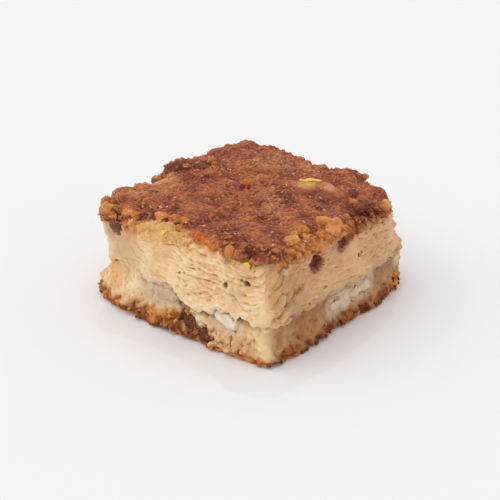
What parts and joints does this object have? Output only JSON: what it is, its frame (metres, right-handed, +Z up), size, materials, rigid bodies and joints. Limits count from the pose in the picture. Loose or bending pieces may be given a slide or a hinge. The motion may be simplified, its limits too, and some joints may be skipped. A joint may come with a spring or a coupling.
{
  "type": "bread pudding",
  "caption": "Square of baked bread pudding: a browned, grainy crust over dense custard crumb on a coarse soaked-bread foot, with raisins and pale fruit showing in its sides.",
  "frame": {"origin": "on the floor, under the centre of the bounding box", "axes": "+Z up through the crust, -Y out of the front cut side, +X out of the right cut side"},
  "size_m": [0.0892, 0.093, 0.0386],
  "materials": {
    "custard_crumb": "moist matt crumb with a browned crust on top",
    "soaked_bread": "coarse crumb, browned at the foot",
    "raisin": "wrinkled skin with a soft sheen",
    "pale_fruit": "moist, slightly translucent"
  },
  "bodies": {
    "root": {"custard_layer": "custard_crumb", "bread_base": "soaked_bread", "raisin_corner": "raisin", "raisin_side": "raisin", "raisin_under_crust": "raisin", "raisin_rim_long": "raisin", "raisin_rim_short": "raisin", "raisin_foot_left": "raisin", "raisin_foot_right": "raisin", "fruit_front": "pale_fruit", "fruit_front_left": "pale_fruit", "fruit_right_near": "pale_fruit", "fruit_right_far": "pale_fruit"}
  },
  "joints": []
}
